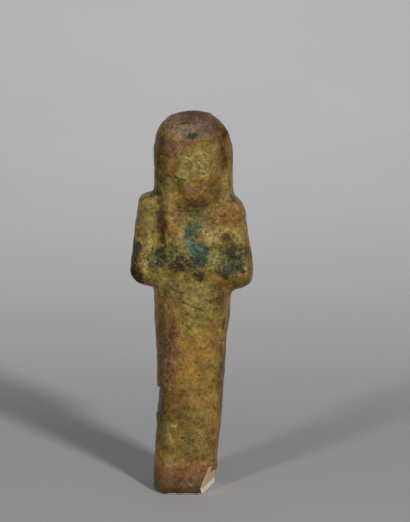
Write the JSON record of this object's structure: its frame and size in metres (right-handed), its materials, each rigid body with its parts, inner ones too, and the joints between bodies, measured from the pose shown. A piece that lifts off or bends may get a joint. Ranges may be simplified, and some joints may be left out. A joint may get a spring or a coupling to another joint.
{
  "type": "ushabti figurine",
  "caption": "small glazed frit funerary figurine, mummy-shaped and standing, with a plain wig, crossed arms, joined legs and a projecting foot block chipped at a corner",
  "frame": {"origin": "centre of the flat sole, on the surface the figurine stands on", "axes": "+Z from the sole up to the crown, -Y the way the face and toes point, +X the figure's left side"},
  "size_m": [0.029, 0.0179, 0.09],
  "materials": {
    "glazed_frit": "worn, stained olive-brown glaze over pale frit"
  },
  "bodies": {
    "root": {"ushabti_figure": "glazed_frit"}
  },
  "joints": []
}
